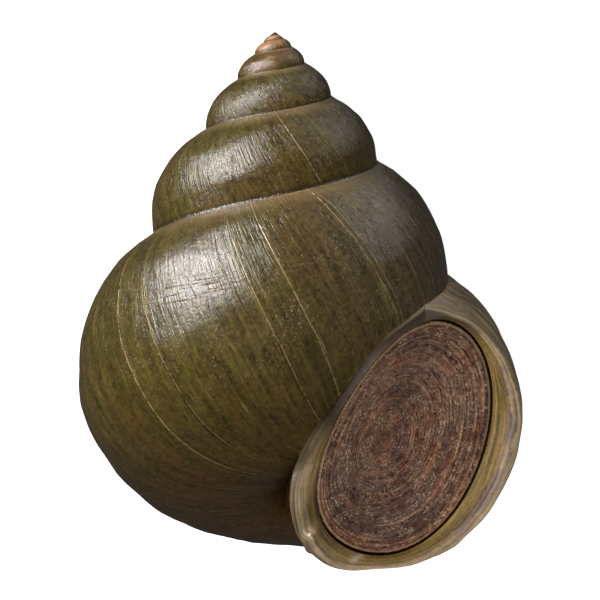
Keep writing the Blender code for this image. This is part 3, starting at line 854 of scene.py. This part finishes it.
def lip_color(finish, row, lip, blotches, streaks, mottle, skin_color):
    """The rounded lip, from its golden edge over tan and olive to painted shade in the gap round the lid.
    """
    wide = lip + (blotches - 0.5) * 0.14
    layers = finish.noise(finish.point(wide * 15, row * 2.2, 8.8), 1, 3, 0.6)
    outer = row.smooth(2.2, 1.8)
    color = finish.mix(wide.smooth(0.38, 0.62), LIP_TAN, LIP_OLIVE)
    mauve = wide.near(0.44, 0.17) * blotches.smooth(0.42, 0.54) * outer
    color = finish.mix(mauve * 0.9, color, LIP_MAUVE)
    # A cream band along the lip's roll: its pale colour, partly a painted highlight.
    cream_and_highlight = wide.near(0.22, 0.13) * (0.55 + row.near(2.2, 0.4) * 0.25)
    color = finish.mix(cream_and_highlight, color, CREAM_AND_LIP_HIGHLIGHT)
    shade = 0.30 + layers.smooth(0.32, 0.68) * 0.95 + mottle.smooth(0.3, 0.7) * 0.25 + streaks * 0.2
    shade = shade * (1.05 - row.smooth(2.1, 2.8) * 0.62) * (0.60 + row.smooth(0.02, 0.4) * 0.40)
    color = finish.lit(color, shade)
    color = finish.mix(lip.near(0.10, 0.03) * 0.7 * outer, color, DARK_LINE_AND_GAP_SHADE)
    color = finish.mix(lip.smooth(0.08, 0.03) * outer * 0.9, color, RIM_GOLD)
    # Painted shade along both sides of the rounded columellar lip.
    roll_side_shade = row.near(2.6, 0.7) * (lip.near(0.14, 0.12) + lip.near(0.80, 0.2) * 0.8)
    color = finish.mix(roll_side_shade, color, finish.lit(color, 0.5))

    # At its upper end the lip under the crest gets painted gap shade; only the crest stays pale, partly as
    # a painted highlight, and runs on a little way along the inner wall.
    gap_shade = row.smooth(0.50, 0.05) * (wide + row.smooth(0.4, 0.0) * 0.20).smooth(0.30, 0.60)
    color = finish.mix(gap_shade * 0.85, color, GAP_SHADE_BROWN)
    crest = row.smooth(0.60, 0.15) * lip.near(0.15, 0.16)
    color = finish.mix(crest * 0.8, color, CREAM_AND_LIP_HIGHLIGHT)
    tail = row.smooth(3.78, 4.0) * lip.near(0.08, 0.22)
    # The inner wall takes the skin's colour at half brightness, as painted shade.
    wall = finish.mix(tail * 0.8, finish.lit(skin_color, 0.5), LIP_TAN)
    color = finish.mix(inner_wall(row), color, wall)
    # Towards the lid and in the hollow behind it the colour turns to painted shade.
    return finish.mix((lip + inner_wall(row) * 0.1).smooth(0.84, 1.0), color, DARK_LINE_AND_GAP_SHADE)


# The lid's colours, and the height of its fine relief.
HORN_DARK = (0.148, 0.076, 0.058)
HORN_RED = (0.255, 0.108, 0.064)
HORN_GREY = (0.200, 0.120, 0.094)
HORN_COPPER = (0.440, 0.224, 0.110)
HORN_GOLD = (0.588, 0.364, 0.168)
HORN_PALE = (0.675, 0.495, 0.330)
HORN_BLACK = (0.014, 0.007, 0.005)
HORN_RELIEF = 0.20 * MM

# The lid's clearest rings, pale then dark: share of the way out and half-width.
PALE_RINGS = (
    (0.335, 0.007),
    (0.500, 0.009),
    (0.655, 0.006),
    (0.765, 0.008),
    (0.885, 0.007),
    (0.945, 0.006),
)
DARK_RINGS = (
    (0.365, 0.008),
    (0.525, 0.010),
    (0.795, 0.014),
    (0.905, 0.008),
    (0.965, 0.008),
)


def horn_finish():
    finish = Finish("lid_horn", specular_ior_level=0.4)
    share, angle = finish.chart("rings")
    place = finish.place()
    patches = finish.noise(place, 160, 3)
    blotches = finish.noise(place, 700, 3)
    mottle = finish.noise(place, 1700, 3, 0.7)
    grains = finish.noise(place, 4200, 2)
    wander = (finish.noise(place, 200, 3) - 0.5) * 0.040 * share.smooth(1.0, 0.8)
    ring = share + wander
    turning = (angle * (2 * math.pi)).math("SINE")
    rising = (angle * (2 * math.pi)).math("COSINE")
    bands = finish.noise(finish.point(ring * 9, turning * 0.6, rising * 0.6), 1, 3)
    rings = finish.noise(finish.point(ring * 60, turning * 2, rising * 2), 1, 3, 0.7)
    threads = finish.noise(finish.point(ring * 150, turning * 6, rising * 6), 1, 3, 0.7)
    dashes = finish.noise(finish.point(ring * 190, turning * 24, rising * 24), 1, 2, 0.6)
    color = finish.mix(bands.smooth(0.40, 0.60), HORN_DARK, HORN_RED)
    color = finish.mix(patches.smooth(0.44, 0.60) * 0.7, color, HORN_GREY)
    copper = (mottle * 0.5 + rings * 0.5).smooth(0.48, 0.62)
    copper = copper * (bands.smooth(0.45, 0.6) * 0.6 + share.smooth(0.80, 0.90) * 0.5)
    color = finish.mix(copper.clamp() * 0.6, color, HORN_COPPER)
    shade = rings.smooth(0.36, 0.64) * 0.42 + threads.smooth(0.38, 0.62) * 0.42
    shade = shade + mottle.smooth(0.36, 0.64) * 0.38
    color = finish.lit(color, shade * 1.55 - 0.02)
    sparse = dashes.smooth(0.56, 0.66) * (0.25 + blotches.smooth(0.45, 0.62) * 0.75)
    color = finish.mix(sparse * 0.85, color, HORN_PALE)
    for where, width in PALE_RINGS:
        worn = ring.near(where, width) * blotches.smooth(0.36, 0.58)
        color = finish.mix(worn * 0.6, color, HORN_GOLD)
    for where, width in DARK_RINGS:
        sunk = ring.near(where, width) * mottle.smooth(0.66, 0.40)
        color = finish.mix(sunk * 0.7, color, HORN_BLACK)
    rim = share.near(0.985, 0.012) * (0.45 + rings * 0.9)
    color = finish.mix(rim.clamp() * 0.85, color, HORN_GOLD)
    specks = grains.smooth(0.56, 0.66) * blotches.smooth(0.38, 0.56)
    color = finish.mix(specks * 0.8, color, HORN_PALE)
    relief = rings * 0.9 + threads * 0.9 + dashes * 0.6 + mottle * 0.5 + grains * 0.5
    rough = 0.38 + blotches * 0.15
    finish.feed(base_color=color, roughness=rough, normal=finish.bump(relief, HORN_RELIEF))
    return finish.material


def floor_finish():
    finish = Finish("floor_white", base_color=(0.8, 0.8, 0.8, 1), roughness=0.9, specular_ior_level=0.0)
    finish.shader.inputs["Emission Color"].default_value = (1, 1, 1, 1)
    finish.shader.inputs["Emission Strength"].default_value = FLOOR_GLOW
    return finish.material


for old in [o for o in bpy.data.objects if o.type in ("CAMERA", "LIGHT")]:
    bpy.data.objects.remove(old)
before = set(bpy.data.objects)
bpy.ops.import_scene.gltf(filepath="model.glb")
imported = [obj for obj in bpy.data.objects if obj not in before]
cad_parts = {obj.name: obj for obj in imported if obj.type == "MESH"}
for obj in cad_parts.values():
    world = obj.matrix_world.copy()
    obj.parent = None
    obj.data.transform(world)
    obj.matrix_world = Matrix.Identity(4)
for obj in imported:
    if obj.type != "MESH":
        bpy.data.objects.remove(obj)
cad_low, cad_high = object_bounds()

shell = make_shell(skin_finish())
lid = make_lid(horn_finish())
corners = np.array([vert.co for piece in (shell, lid) for vert in piece.data.vertices])
low, high = corners.min(axis=0), corners.max(axis=0)
middle = [(cad_low[i] + cad_high[i] - low[i] - high[i]) / 2 for i in (0, 1)]
SETTLE = Vector((*middle, cad_low[2] - low[2]))
for piece, node in ((shell, "shell"), (lid, "operculum")):
    piece.data.transform(Matrix.Translation(SETTLE))
    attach(piece, "root")
    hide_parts(node)


def stage_floor():
    bm = bmesh.new()
    bmesh.ops.create_grid(bm, x_segments=1, y_segments=1, size=4)
    mesh = bpy.data.meshes.new("floor")
    bm.to_mesh(mesh)
    bm.free()
    mesh.materials.append(floor_finish())
    floor = bpy.data.objects.new("floor", mesh)
    bpy.context.scene.collection.objects.link(floor)
    floor.location.z = -0.05 * MM
    floor.visible_glossy = False
    floor.visible_diffuse = False
    floor.visible_shadow = False


stage_floor()

# The camera's axes, first beside the standing shell and then beside the laid one.
up_plain = Vector((0, math.sin(VIEW_RISE), math.cos(VIEW_RISE)))
side_plain = Vector((1, 0, 0))
right = side_plain * math.cos(VIEW_ROLL) - up_plain * math.sin(VIEW_ROLL)
up = side_plain * math.sin(VIEW_ROLL) + up_plain * math.cos(VIEW_ROLL)
turned = LAID.to_3x3()
right, up = turned @ right, turned @ up
towards = right.cross(up)
aim = Matrix.Translation(SETTLE) @ LAID @ (side_plain * VIEW_X + up_plain * VIEW_Z)


def add_camera():
    data = bpy.data.cameras.new("camera")
    data.lens = CAMERA_LENS
    data.sensor_width = SENSOR
    distance = VIEW_WIDTH * CAMERA_LENS / SENSOR
    data.clip_end = distance * 4
    camera = bpy.data.objects.new("camera", data)
    bpy.context.scene.collection.objects.link(camera)
    axes = Matrix((right, up, towards)).transposed().to_4x4()
    camera.matrix_world = Matrix.Translation(aim + towards * distance) @ axes
    bpy.context.scene.camera = camera


def add_softbox(name, direction, long_side, distance, size, power, mirrored):
    """A soft light that faces the shell."""
    data = bpy.data.lights.new(name, "AREA")
    data.shape = "RECTANGLE"
    data.size, data.size_y = size
    data.energy = power
    lamp = bpy.data.objects.new(name, data)
    bpy.context.scene.collection.objects.link(lamp)
    way, length = (right * d[0] + up * d[1] + towards * d[2] for d in (direction, long_side))
    way.normalize()
    across = length.cross(way).normalized()
    axes = Matrix((across, way.cross(across), way)).transposed().to_4x4()
    lamp.matrix_world = Matrix.Translation(aim + way * distance) @ axes
    lamp.visible_glossy = mirrored


def light_world(strength):
    world = bpy.data.worlds.new("studio")
    world.use_nodes = True
    world.node_tree.nodes["Background"].inputs["Color"].default_value = (1, 1, 1, 1)
    world.node_tree.nodes["Background"].inputs["Strength"].default_value = strength
    bpy.context.scene.world = world


add_camera()
for lamp in LAMPS:
    add_softbox(*lamp)
light_world(SKY)
bpy.context.scene.view_settings.view_transform = "Standard"
